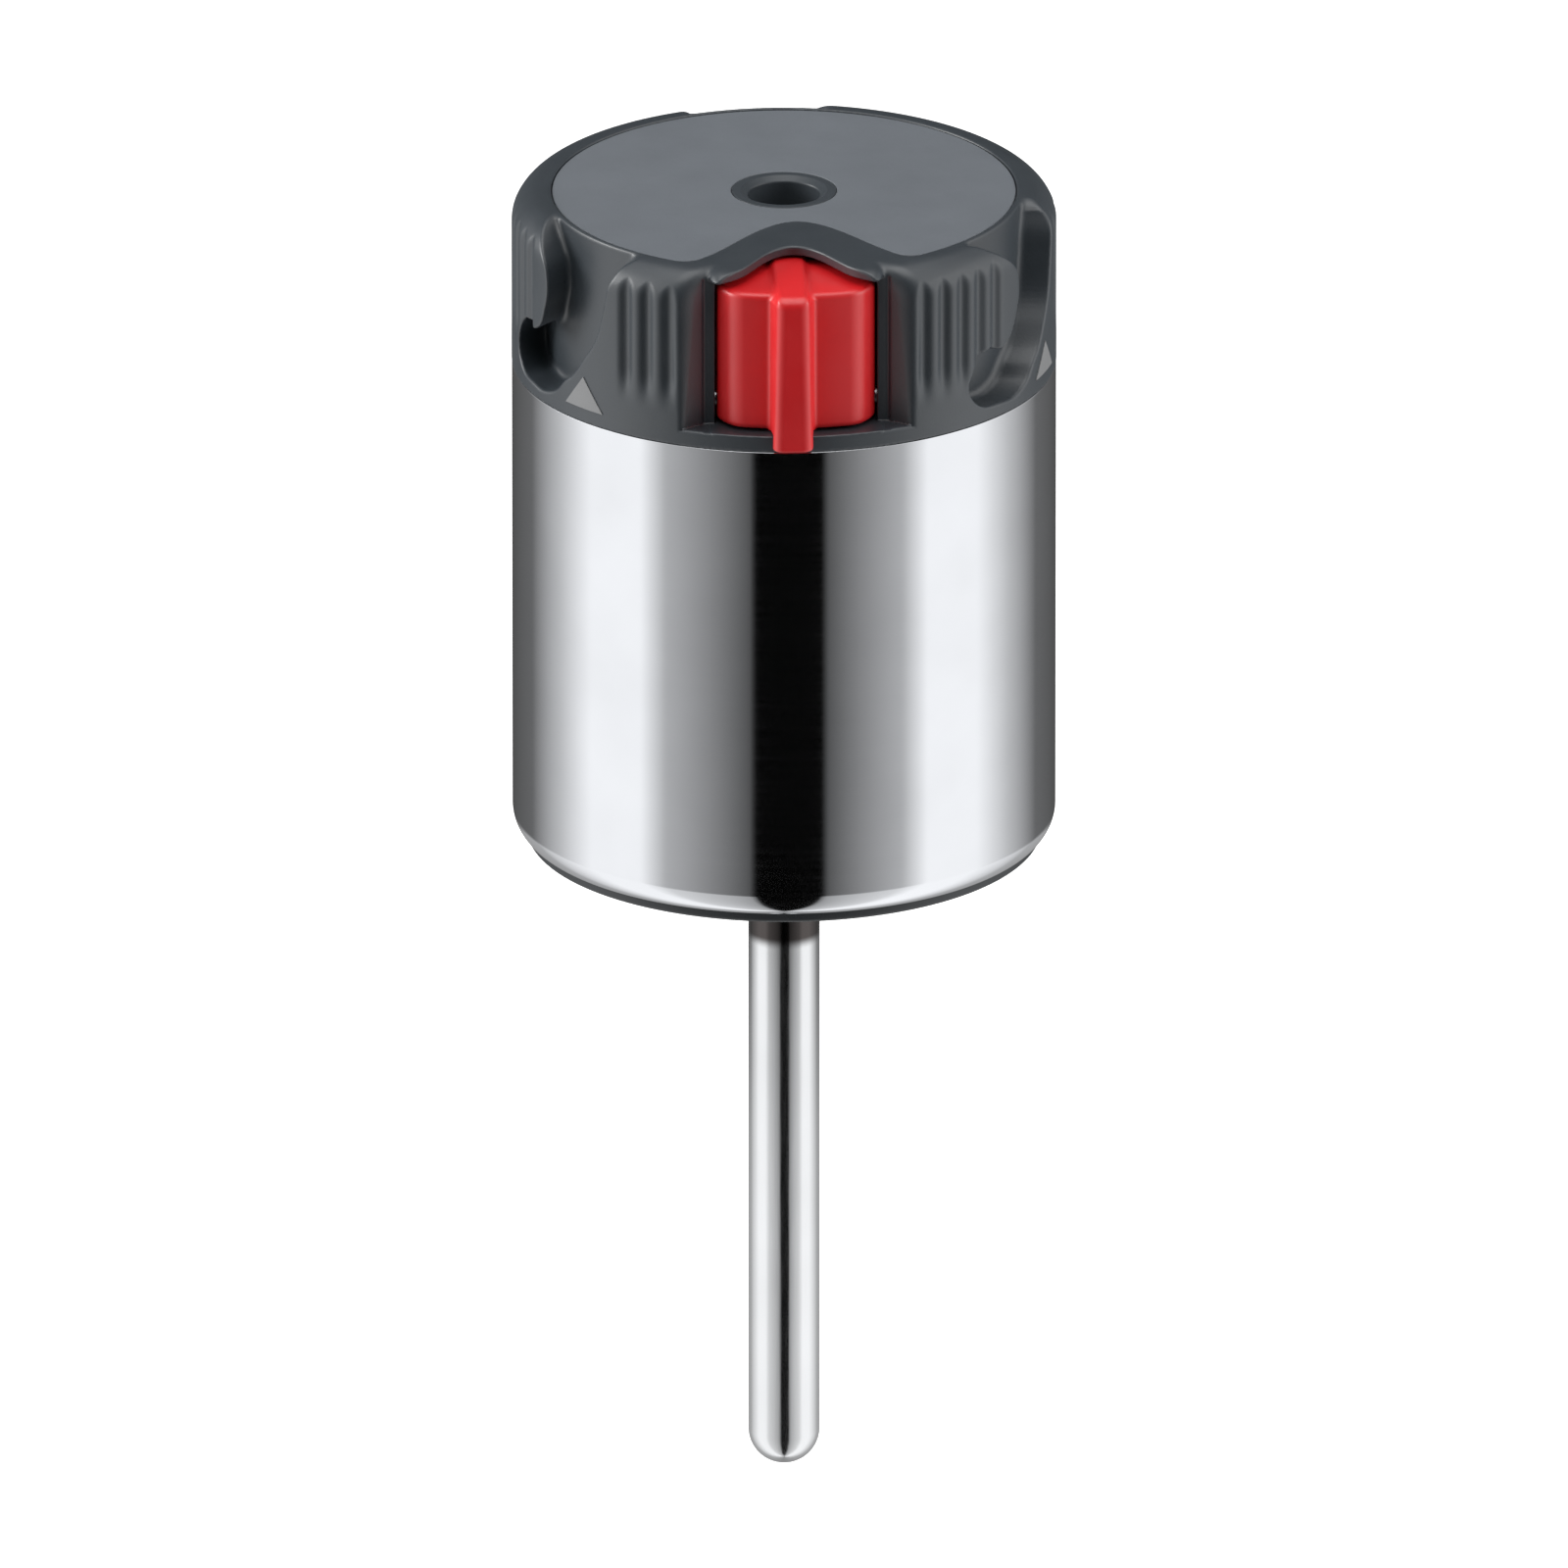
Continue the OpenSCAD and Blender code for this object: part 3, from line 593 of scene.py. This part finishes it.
def make_plate():
    """The top plate: its outline swept with a rounded edge, and a flat face with a hole."""
    corners = []
    for side in (-1, 1):
        near, far = 8.0, 15.0
        for _ in range(40):
            x = side * (near + far) / 2
            if notch_edge(x) > -math.sqrt(PLATE_R ** 2 - x * x):
                near = abs(x)
            else:
                far = abs(x)
        corners.append((side * near, float(notch_edge(side * near))))
    (left_x, left_y), (right_x, right_y) = corners
    start = math.degrees(math.atan2(right_y, right_x))
    end = math.degrees(math.atan2(left_y, left_x)) % 360
    outline = [np.array(p) for p in arc(0, 0, PLATE_R, start, end, 220)]
    notch_x = np.linspace(left_x, right_x, 65)[1:-1]
    outline += [np.array([x, notch_edge(x)]) for x in notch_x]
    # soften the two corners by relaxing the points next to them
    ring = np.array(outline)
    near = np.minimum(*[np.hypot(ring[:, 0] - x, ring[:, 1] - y) for x, y in corners]) < 1.6
    for _ in range(8):
        middle = (np.roll(ring, 1, 0) + np.roll(ring, -1, 0)) / 2
        ring[near] = middle[near]
    ahead = np.roll(ring, -1, 0) - np.roll(ring, 1, 0)
    out = np.stack([ahead[:, 1], -ahead[:, 0]], 1)
    out /= np.linalg.norm(out, axis=1, keepdims=True)
    hole = np.array(arc(0, 0, BEZEL_R + 0.05, 0, 360, 96)[:-1])
    hole_in = -hole / np.linalg.norm(hole, axis=1, keepdims=True)
    edge = 0.16
    levels = [(0.0, DECK_TOP), (0.0, PLATE_TOP - edge)]
    for a in (30, 60, 90):
        t = math.radians(a)
        levels.append((edge * (1 - math.cos(t)), PLATE_TOP - edge * (1 - math.sin(t))))
    mesh = bmesh.new()
    for points, normal in ((ring, out), (hole, hole_in)):
        loops = []
        for inset, z in levels:
            flat = points - normal * inset
            loops.append([mesh.verts.new((x, y, z)) for x, y in flat])
        for a, b in zip(loops, loops[1:]):
            for i in range(len(a)):
                j = (i + 1) % len(a)
                mesh.faces.new((a[i], a[j], b[j], b[i]))
    mesh.verts.ensure_lookup_table()
    for z in (DECK_TOP, PLATE_TOP):
        rim = [e for e in mesh.edges
               if all(abs(v.co.z - z) < 1e-4 for v in e.verts) and len(e.link_faces) == 1]
        bmesh.ops.triangle_fill(mesh, use_beauty=True, edges=rim)
    bmesh.ops.recalc_face_normals(mesh, faces=mesh.faces)
    verts = [tuple(v.co) for v in mesh.verts]
    faces = [[v.index for v in f.verts] for f in mesh.faces]
    mesh.free()
    obj = add_piece("top_disc", verts, faces, "head", ["top_plate"])
    weigh = obj.modifiers.new("weigh", "WEIGHTED_NORMAL")
    weigh.weight = 100
    return obj


def make_coil(node, coil_r, wire_r, turns, along):
    """A compression spring of round wire.
    It stands on the head at one end of its CAD node's box, along the unit vector given."""
    low, high = node_box(node)
    along = np.array(along, float)
    length = float(abs((high - low) @ along))
    foot = (low + high) / 2 - along * length / 2
    across = np.array([1.0, 0, 0])
    up = np.cross(along, across)
    steps, sides = 30, 12
    count = turns * steps
    # a smaller ring past each end rounds the wire's cut ends
    stations = [(-0.3, 0.7)] + [(i, 1.0) for i in range(count + 1)] + [(count + 0.3, 0.7)]
    verts = []
    for i, size in stations:
        a = 2 * math.pi * i / steps
        out = across * math.cos(a) + up * math.sin(a)
        height = wire_r + (length - 2 * wire_r) * min(max(i / count, 0), 1)
        pull = np.cross(along, out) * (0.3 * wire_r if size < 1 else 0)
        for k in range(sides):
            b = 2 * math.pi * k / sides
            verts.append(foot + out * (coil_r + size * wire_r * math.cos(b))
                         + along * (height + size * wire_r * math.sin(b))
                         + pull * (-1 if i < 0 else 1))
    faces = []
    for i in range(len(stations) - 1):
        for k in range(sides):
            a, b = i * sides + k, i * sides + (k + 1) % sides
            faces.append((a, b, b + sides, a + sides))
    faces.append(tuple(range(sides))[::-1])
    faces.append(tuple(range(len(verts) - sides, len(verts))))
    obj = add_piece(node + "_coil", verts, faces, "head", [node])
    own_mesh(obj)
    return obj


pieces = {
    "spring_steel": [
        make_coil("latch_spring", 2.4, 0.3, 7, (0, -1, 0)),
        make_coil("contact_spring", 1.7, 0.25, 6, (0, 0, 1)),
    ],
    "cap_plastic": [make_cap()],
    "latch_plastic": [make_latch()],
    "can_steel": [make_can()],
    "stem_steel": [make_stem()],
    "bezel_plastic": [make_bezel()],
    "plate_plastic": [make_plate()],
}


# ---------------------------------------------------------------- materials

class Shader:
    """A small helper that builds a Principled material from nodes."""

    def __init__(self, name, color, rough, metallic=0.0, **sockets):
        self.mat = bpy.data.materials.new(name)
        self.mat.use_nodes = True
        self.tree = self.mat.node_tree
        self.bsdf = self.tree.nodes["Principled BSDF"]
        self.bsdf.inputs["Base Color"].default_value = (*color, 1)
        self.bsdf.inputs["Roughness"].default_value = rough
        self.bsdf.inputs["Metallic"].default_value = metallic
        for key, value in sockets.items():
            self.bsdf.inputs[key.replace("_", " ")].default_value = value
        self.coords = self.node("ShaderNodeTexCoord").outputs["Object"]

    def node(self, kind, **values):
        node = self.tree.nodes.new(kind)
        for key, value in values.items():
            if key in node.inputs:
                node.inputs[key].default_value = value
            else:
                setattr(node, key, value)
        return node

    def link(self, a, b):
        self.tree.links.new(a, b)

    def noise(self, scale, detail=2.0, stretch=(1, 1, 1), rough=0.5):
        mapping = self.node("ShaderNodeMapping")
        mapping.inputs["Scale"].default_value = stretch
        self.link(self.coords, mapping.inputs["Vector"])
        noise = self.node("ShaderNodeTexNoise", Scale=scale, Detail=detail, Roughness=rough)
        self.link(mapping.outputs["Vector"], noise.inputs["Vector"])
        return noise.outputs["Fac"]

    def ranged(self, value, low, high):
        """Maps 0..1 noise to low..high."""
        node = self.node("ShaderNodeMapRange")
        node.inputs["From Min"].default_value = 0.25
        node.inputs["From Max"].default_value = 0.75
        node.inputs["To Min"].default_value = low
        node.inputs["To Max"].default_value = high
        self.link(value, node.inputs["Value"])
        return node.outputs["Result"]

    def vary_color(self, value, dark, light):
        ramp = self.node("ShaderNodeValToRGB")
        ramp.color_ramp.elements[0].position = 0.3
        ramp.color_ramp.elements[1].position = 0.7
        ramp.color_ramp.elements[0].color = (*dark, 1)
        ramp.color_ramp.elements[1].color = (*light, 1)
        self.link(value, ramp.inputs["Fac"])
        self.link(ramp.outputs["Color"], self.bsdf.inputs["Base Color"])
        return ramp.outputs["Color"]

    def vary_rough(self, value, low, high):
        self.link(self.ranged(value, low, high), self.bsdf.inputs["Roughness"])

    def bump(self, value, depth_mm, strength=1.0):
        bump = self.node("ShaderNodeBump", Strength=strength, Distance=depth_mm * MM)
        self.link(value, bump.inputs["Height"])
        previous = self.bsdf.inputs["Normal"].links
        if previous:
            self.link(previous[0].from_socket, bump.inputs["Normal"])
        self.link(bump.outputs["Normal"], self.bsdf.inputs["Normal"])


def scaled(color, factor):
    return tuple(c * factor for c in color)


def plastic(name, color, rough, grain_mm, depth_mm, spread=0.06, **sockets):
    """Moulded plastic: a spark-eroded grain, and slow changes in shade and gloss."""
    s = Shader(name, color, rough, **sockets)
    slow = s.noise(120, 3)
    s.vary_color(slow, scaled(color, 1 - spread), scaled(color, 1 + spread))
    s.vary_rough(s.noise(260, 3), rough - 0.04, rough + 0.05)
    s.bump(s.noise(1 / (grain_mm * MM), 2.5), depth_mm)
    return s.mat


# Painted shade: dark brown colour that stands in for the shade of the base on the stem's root
PAINTED_ROOT_SHADE = (0.085, 0.076, 0.074, 1)


def steel(name, color, rough, stretch, depth_mm, scale, painted_shade_z=None):
    """Steel with fine lines left by its last finishing pass.
    Between the two heights given it turns to a dark brown: painted shade for the stem's root under the base."""
    s = Shader(name, color, rough, metallic=1.0)
    lines = s.noise(scale, 3, stretch)
    shade = s.vary_color(s.noise(90, 2), scaled(color, 0.97), scaled(color, 1.02))
    # painted shade: the stem's root darkens to brown between these heights and above them
    if painted_shade_z:
        split = s.node("ShaderNodeSeparateXYZ")
        s.link(s.coords, split.inputs[0])
        height = s.node("ShaderNodeMapRange", interpolation_type="SMOOTHSTEP")
        height.inputs["From Min"].default_value = painted_shade_z[0] * MM
        height.inputs["From Max"].default_value = painted_shade_z[1] * MM
        s.link(split.outputs["Z"], height.inputs["Value"])
        mix = s.node("ShaderNodeMix", data_type="RGBA")
        s.link(height.outputs["Result"], mix.inputs["Factor"])
        clean, shaded_in = [i for i in mix.inputs if i.type == "RGBA"]
        s.link(shade, clean)
        shaded_in.default_value = PAINTED_ROOT_SHADE
        s.link([o for o in mix.outputs if o.type == "RGBA"][0], s.bsdf.inputs["Base Color"])
    s.vary_rough(lines, rough * 0.75, rough * 1.3)
    s.bump(lines, depth_mm)
    return s.mat


def metal(name, color, rough, scale=900):
    s = Shader(name, color, rough, metallic=1.0)
    wear = s.noise(scale, 3)
    s.vary_color(wear, scaled(color, 0.86), scaled(color, 1.06))
    s.vary_rough(s.noise(scale * 2.5, 2), rough * 0.8, rough * 1.25)
    s.bump(s.noise(scale * 4, 2), 0.01)
    return s.mat


MATERIALS = {
    "cap_plastic": plastic("cap_plastic", (0.031, 0.039, 0.047), 0.40, 0.22, 0.008,
                           Specular_IOR_Level=0.9),
    "plate_plastic": plastic("plate_plastic", (0.138, 0.152, 0.170), 0.55, 0.16, 0.014, 0.04),
    "bezel_plastic": plastic("bezel_plastic", (0.042, 0.050, 0.058), 0.38, 0.2, 0.008),
    "base_plastic": plastic("base_plastic", (0.030, 0.034, 0.038), 0.42, 0.25, 0.012),
    "mark_print": plastic("mark_print", (0.235, 0.238, 0.242), 0.5, 0.12, 0.006, 0.05),
    "latch_plastic": plastic("latch_plastic", (0.74, 0.009, 0.013), 0.40, 0.3, 0.004, 0.04,
                             Specular_IOR_Level=0.9),
    "can_steel": steel("can_steel", (0.785, 0.80, 0.83), 0.07, (1, 1, 40), 0.0006, 60),
    # the brown band at the stem's root is painted shade of the base
    "stem_steel": steel("stem_steel", (0.785, 0.795, 0.81), 0.14, (30, 30, 1), 0.003, 160,
                        painted_shade_z=(-12.8, -11.4)),
    "spring_steel": metal("spring_steel", (0.55, 0.56, 0.58), 0.28),
    "screw_zinc": metal("screw_zinc", (0.6, 0.61, 0.62), 0.32),
    "brass": metal("brass", (0.72, 0.52, 0.2), 0.27),
    "heater_steel": metal("heater_steel", (0.33, 0.3, 0.27), 0.45, 300),
    "sink_aluminium": metal("sink_aluminium", (0.7, 0.71, 0.73), 0.36),
    "seal_rubber": plastic("seal_rubber", (0.02, 0.02, 0.021), 0.65, 0.3, 0.02, 0.2),
    "ceramic": plastic("ceramic", (0.74, 0.71, 0.65), 0.6, 0.25, 0.02),
    "nylon": plastic("nylon", (0.62, 0.6, 0.53), 0.45, 0.4, 0.01),
    "board_green": plastic("board_green", (0.012, 0.12, 0.05), 0.3, 0.5, 0.01, 0.2),
    "chip_black": plastic("chip_black", (0.017, 0.017, 0.019), 0.45, 0.15, 0.01, 0.15),
    "can_blue": plastic("can_blue", (0.015, 0.035, 0.14), 0.25, 0.6, 0.006, 0.1),
    "terminal_green": plastic("terminal_green", (0.02, 0.16, 0.06), 0.4, 0.3, 0.01, 0.1),
    "lead_red": plastic("lead_red", (0.45, 0.02, 0.015), 0.4, 0.3, 0.01, 0.1),
    "lead_white": plastic("lead_white", (0.66, 0.65, 0.62), 0.7, 0.18, 0.03, 0.08),
    "lead_yellow": plastic("lead_yellow", (0.6, 0.47, 0.05), 0.4, 0.3, 0.01, 0.1),
    "sensor_glass": plastic("sensor_glass", (0.45, 0.33, 0.16), 0.35, 0.3, 0.01, 0.15),
}

for slot_name, objects in pieces.items():
    for obj in objects:
        obj.data.materials.clear()
        obj.data.materials.append(MATERIALS[slot_name])

SLOT_OF = {s["node"]: s["material_slot"] for s in RECORD["subparts"]}
for node_name, obj in NODES.items():
    for slot_entry in obj.material_slots:
        slot_entry.material = MATERIALS[SLOT_OF[node_name]]
    if not obj.material_slots:
        obj.data.materials.append(MATERIALS[SLOT_OF[node_name]])


def soften(obj, width_mm):
    """Joins the split faces of a CAD mesh and rounds its sharp edges."""
    weld = obj.modifiers.new("weld", "WELD")
    weld.merge_threshold = 0.002 * MM
    smooth = obj.modifiers.new("smooth", "NODES")
    smooth.node_group = smooth_group()
    edge = obj.modifiers.new("fillet", "BEVEL")
    edge.width = width_mm * MM
    edge.segments = 2
    edge.limit_method = "ANGLE"
    edge.angle_limit = math.radians(40)
    edge.use_clamp_overlap = True
    obj.modifiers.new("weigh", "WEIGHTED_NORMAL").weight = 100


def smooth_group():
    """Node group, shared by all kept CAD nodes, that shades every face smooth."""
    name = "smooth_faces"
    if name in bpy.data.node_groups:
        return bpy.data.node_groups[name]
    group = bpy.data.node_groups.new(name, "GeometryNodeTree")
    group.interface.new_socket("Geometry", in_out="INPUT", socket_type="NodeSocketGeometry")
    group.interface.new_socket("Geometry", in_out="OUTPUT", socket_type="NodeSocketGeometry")
    start = group.nodes.new("NodeGroupInput")
    shade = group.nodes.new("GeometryNodeSetShadeSmooth")
    end = group.nodes.new("NodeGroupOutput")
    group.links.new(start.outputs[0], shade.inputs["Geometry"])
    group.links.new(shade.outputs[0], end.inputs[0])
    return group


# Width of the rounded edges of the CAD nodes that are shown as they are
FILLET_MM = {
    "base_plate": 0.12, "board_frame": 0.2, "control_board": 0.08, "board_screws": 0.06,
    "capacitors": 0.2, "terminal_block": 0.2, "microcontroller": 0.1, "power_transistor": 0.12,
    "heat_sink": 0.12, "tie_posts": 0.12, "tie_screws": 0.1, "deck_screws": 0.1,
    "gland_nut": 0.15, "ceramic_bush": 0.15, "thermal_fuse": 0.12, "contact_carrier": 0.12,
    "sleeve_contact": 0.06, "centre_contact": 0.08, "latch_pin": 0.1, "base_gasket": 0.1,
    "heater_cartridge": 0.12, "heater_leads": 0.05, "sensor_leads": 0.05, "socket_leads": 0.05,
}
for node_name, width in FILLET_MM.items():
    soften(NODES[node_name], width)


# ---------------------------------------------------------------- studio

FLOOR_Z = -0.34
TENT_R = 0.5
CAMERA_AZ = -3.0
CAMERA_EL = 20.74
CAMERA_DISTANCE = 7.0
FRAME_WIDTH = 0.1756
AIM_Z = 0.0057


def stage_object(name, verts, faces, material):
    mesh = bpy.data.meshes.new(name)
    mesh.from_pydata(verts, [], faces)
    mesh.materials.append(material)
    obj = bpy.data.objects.new(name, mesh)
    bpy.context.scene.collection.objects.link(obj)
    return obj


def floor_material():
    s = Shader("floor_paper", (0.92, 0.92, 0.92), 0.9)
    s.vary_color(s.noise(6, 2), (0.91, 0.91, 0.91), (0.93, 0.93, 0.93))
    s.bsdf.inputs["Emission Color"].default_value = (1, 1, 1, 1)
    s.bsdf.inputs["Emission Strength"].default_value = 0.75
    return s.mat


# Two equal softboxes, one on each side, and a black flag about the lens. Each side is given as
# degrees from the camera and brightness: a dim slope, the softbox, and its fall-off to the back
LIGHT_SIDE = ((50, 0.5), (62, 1.1), (88, 1.1), (108, 0.6), (132, 0.15), (180, 0.05))
FLAG_CENTRE = 2.0
FLAG_HALF = 14.0
FLAG_EDGE = 2.0
FLAG_GLOW = 0.1
TENT_GAIN = 1.15


def tent_stops():
    """Brightness of the light tent by azimuth from the camera, the same list for both sides."""
    stops = []
    for side in (-1, 1):
        rim = FLAG_CENTRE + side * FLAG_HALF
        stops += [(rim, 0.0), (rim + side * FLAG_EDGE, FLAG_GLOW)]
        stops += [(side * angle, glow) for angle, glow in LIGHT_SIDE]
    return sorted(stops)


def tent_material():
    """Light that varies round the tent; low down, where the stem mirrors it, it is more even."""
    mat = bpy.data.materials.new("tent_light")
    mat.use_nodes = True
    tree = mat.node_tree
    tree.nodes.clear()
    out = tree.nodes.new("ShaderNodeOutputMaterial")
    glow = tree.nodes.new("ShaderNodeEmission")
    coord = tree.nodes.new("ShaderNodeTexCoord")
    split = tree.nodes.new("ShaderNodeSeparateXYZ")
    angle = tree.nodes.new("ShaderNodeMath")
    angle.operation = "ARCTAN2"
    flip = tree.nodes.new("ShaderNodeMath")
    flip.operation = "MULTIPLY"
    flip.inputs[1].default_value = -1
    turn = tree.nodes.new("ShaderNodeMapRange")
    turn.inputs["From Min"].default_value = -math.pi
    turn.inputs["From Max"].default_value = math.pi
    curve = tree.nodes.new("ShaderNodeFloatCurve")
    points = curve.mapping.curves[0].points
    stops = [((a + 180) / 360, v / TENT_GAIN) for a, v in tent_stops()]
    gain = tree.nodes.new("ShaderNodeMath")
    gain.operation = "MULTIPLY"
    gain.inputs[1].default_value = TENT_GAIN
    points[0].location, points[1].location = stops[0], stops[-1]
    for x, v in stops[1:-1]:
        points.new(x, v)
    for p in points:
        p.handle_type = "VECTOR"
    curve.mapping.update()
    link = tree.links.new
    link(coord.outputs["Object"], split.inputs[0])
    link(split.outputs["Y"], flip.inputs[0])
    link(split.outputs["X"], angle.inputs[0])
    link(flip.outputs[0], angle.inputs[1])
    link(angle.outputs[0], turn.inputs["Value"])
    link(turn.outputs["Result"], curve.inputs["Value"])
    lift = tree.nodes.new("ShaderNodeMapRange")
    lift.inputs["From Min"].default_value = -0.19
    lift.inputs["From Max"].default_value = -0.228
    lift.inputs["To Min"].default_value = 1.0
    lift.inputs["To Max"].default_value = 0.45
    power = tree.nodes.new("ShaderNodeMath")
    power.operation = "POWER"
    link(split.outputs["Z"], lift.inputs["Value"])
    link(curve.outputs["Value"], power.inputs[0])
    link(lift.outputs["Result"], power.inputs[1])
    link(power.outputs[0], gain.inputs[0])
    link(gain.outputs[0], glow.inputs["Strength"])
    link(glow.outputs[0], out.inputs["Surface"])
    return mat


def add_lamp(name, azimuth, elevation, distance, size, watts):
    """A round softbox that faces the object; the azimuth runs from the camera to the right."""
    data = bpy.data.lights.new(name, "AREA")
    data.shape = "DISK"
    data.size = size
    data.energy = watts
    lamp = bpy.data.objects.new(name, data)
    a, e = math.radians(CAMERA_AZ + azimuth), math.radians(elevation)
    out = Vector((math.sin(a) * math.cos(e), -math.cos(a) * math.cos(e), math.sin(e)))
    lamp.location = out * distance
    lamp.rotation_mode = "QUATERNION"
    lamp.rotation_quaternion = (-out).to_track_quat("-Z", "Y")
    lamp.visible_camera = False
    bpy.context.scene.collection.objects.link(lamp)


def make_studio():
    size = 6.0
    stage_object("floor", [(-size, -size, FLOOR_Z), (size, -size, FLOOR_Z),
                           (size, size, FLOOR_Z), (-size, size, FLOOR_Z)],
                 [(0, 1, 2, 3)], floor_material())
    segments = 180
    low, high = FLOOR_Z + 0.02, 0.62
    verts = []
    for z in (low, high):
        for i in range(segments):
            a = 2 * math.pi * i / segments
            verts.append((TENT_R * math.cos(a), TENT_R * math.sin(a), z))
    faces = [(i, (i + 1) % segments, segments + (i + 1) % segments, segments + i)
             for i in range(segments)]
    verts.append((0, 0, low))
    faces += [(i, 2 * segments, (i + 1) % segments) for i in range(segments)]
    tent = stage_object("light_tent", verts, faces, tent_material())
    tent.rotation_euler.z = math.radians(CAMERA_AZ)
    tent.visible_camera = False
    tent.visible_shadow = False
    add_lamp("top_softbox", 0, 82, 0.95, 0.9, 3.2)
    add_lamp("left_softbox", -95, 22, 1.0, 0.5, 6.5)
    add_lamp("right_softbox", 85, 25, 1.0, 0.5, 3.0)
    world = bpy.data.worlds.new("studio_world")
    world.use_nodes = True
    world.node_tree.nodes["Background"].inputs["Color"].default_value = (1, 1, 1, 1)
    world.node_tree.nodes["Background"].inputs["Strength"].default_value = 0.62
    bpy.context.scene.world = world
    bpy.context.scene.view_settings.view_transform = "Standard"


def make_camera():
    data = bpy.data.cameras.new("camera")
    data.sensor_width = 36.0
    data.lens = data.sensor_width * CAMERA_DISTANCE / FRAME_WIDTH
    data.clip_end = 20.0
    cam = bpy.data.objects.new("camera", data)
    a, e = math.radians(CAMERA_AZ), math.radians(CAMERA_EL)
    back = Vector((math.sin(a) * math.cos(e), -math.cos(a) * math.cos(e), math.sin(e)))
    cam.location = Vector((0, 0, AIM_Z)) + back * CAMERA_DISTANCE
    cam.rotation_mode = "QUATERNION"
    cam.rotation_quaternion = (-back).to_track_quat("-Z", "Y")
    bpy.context.scene.collection.objects.link(cam)
    bpy.context.scene.camera = cam


make_studio()
make_camera()
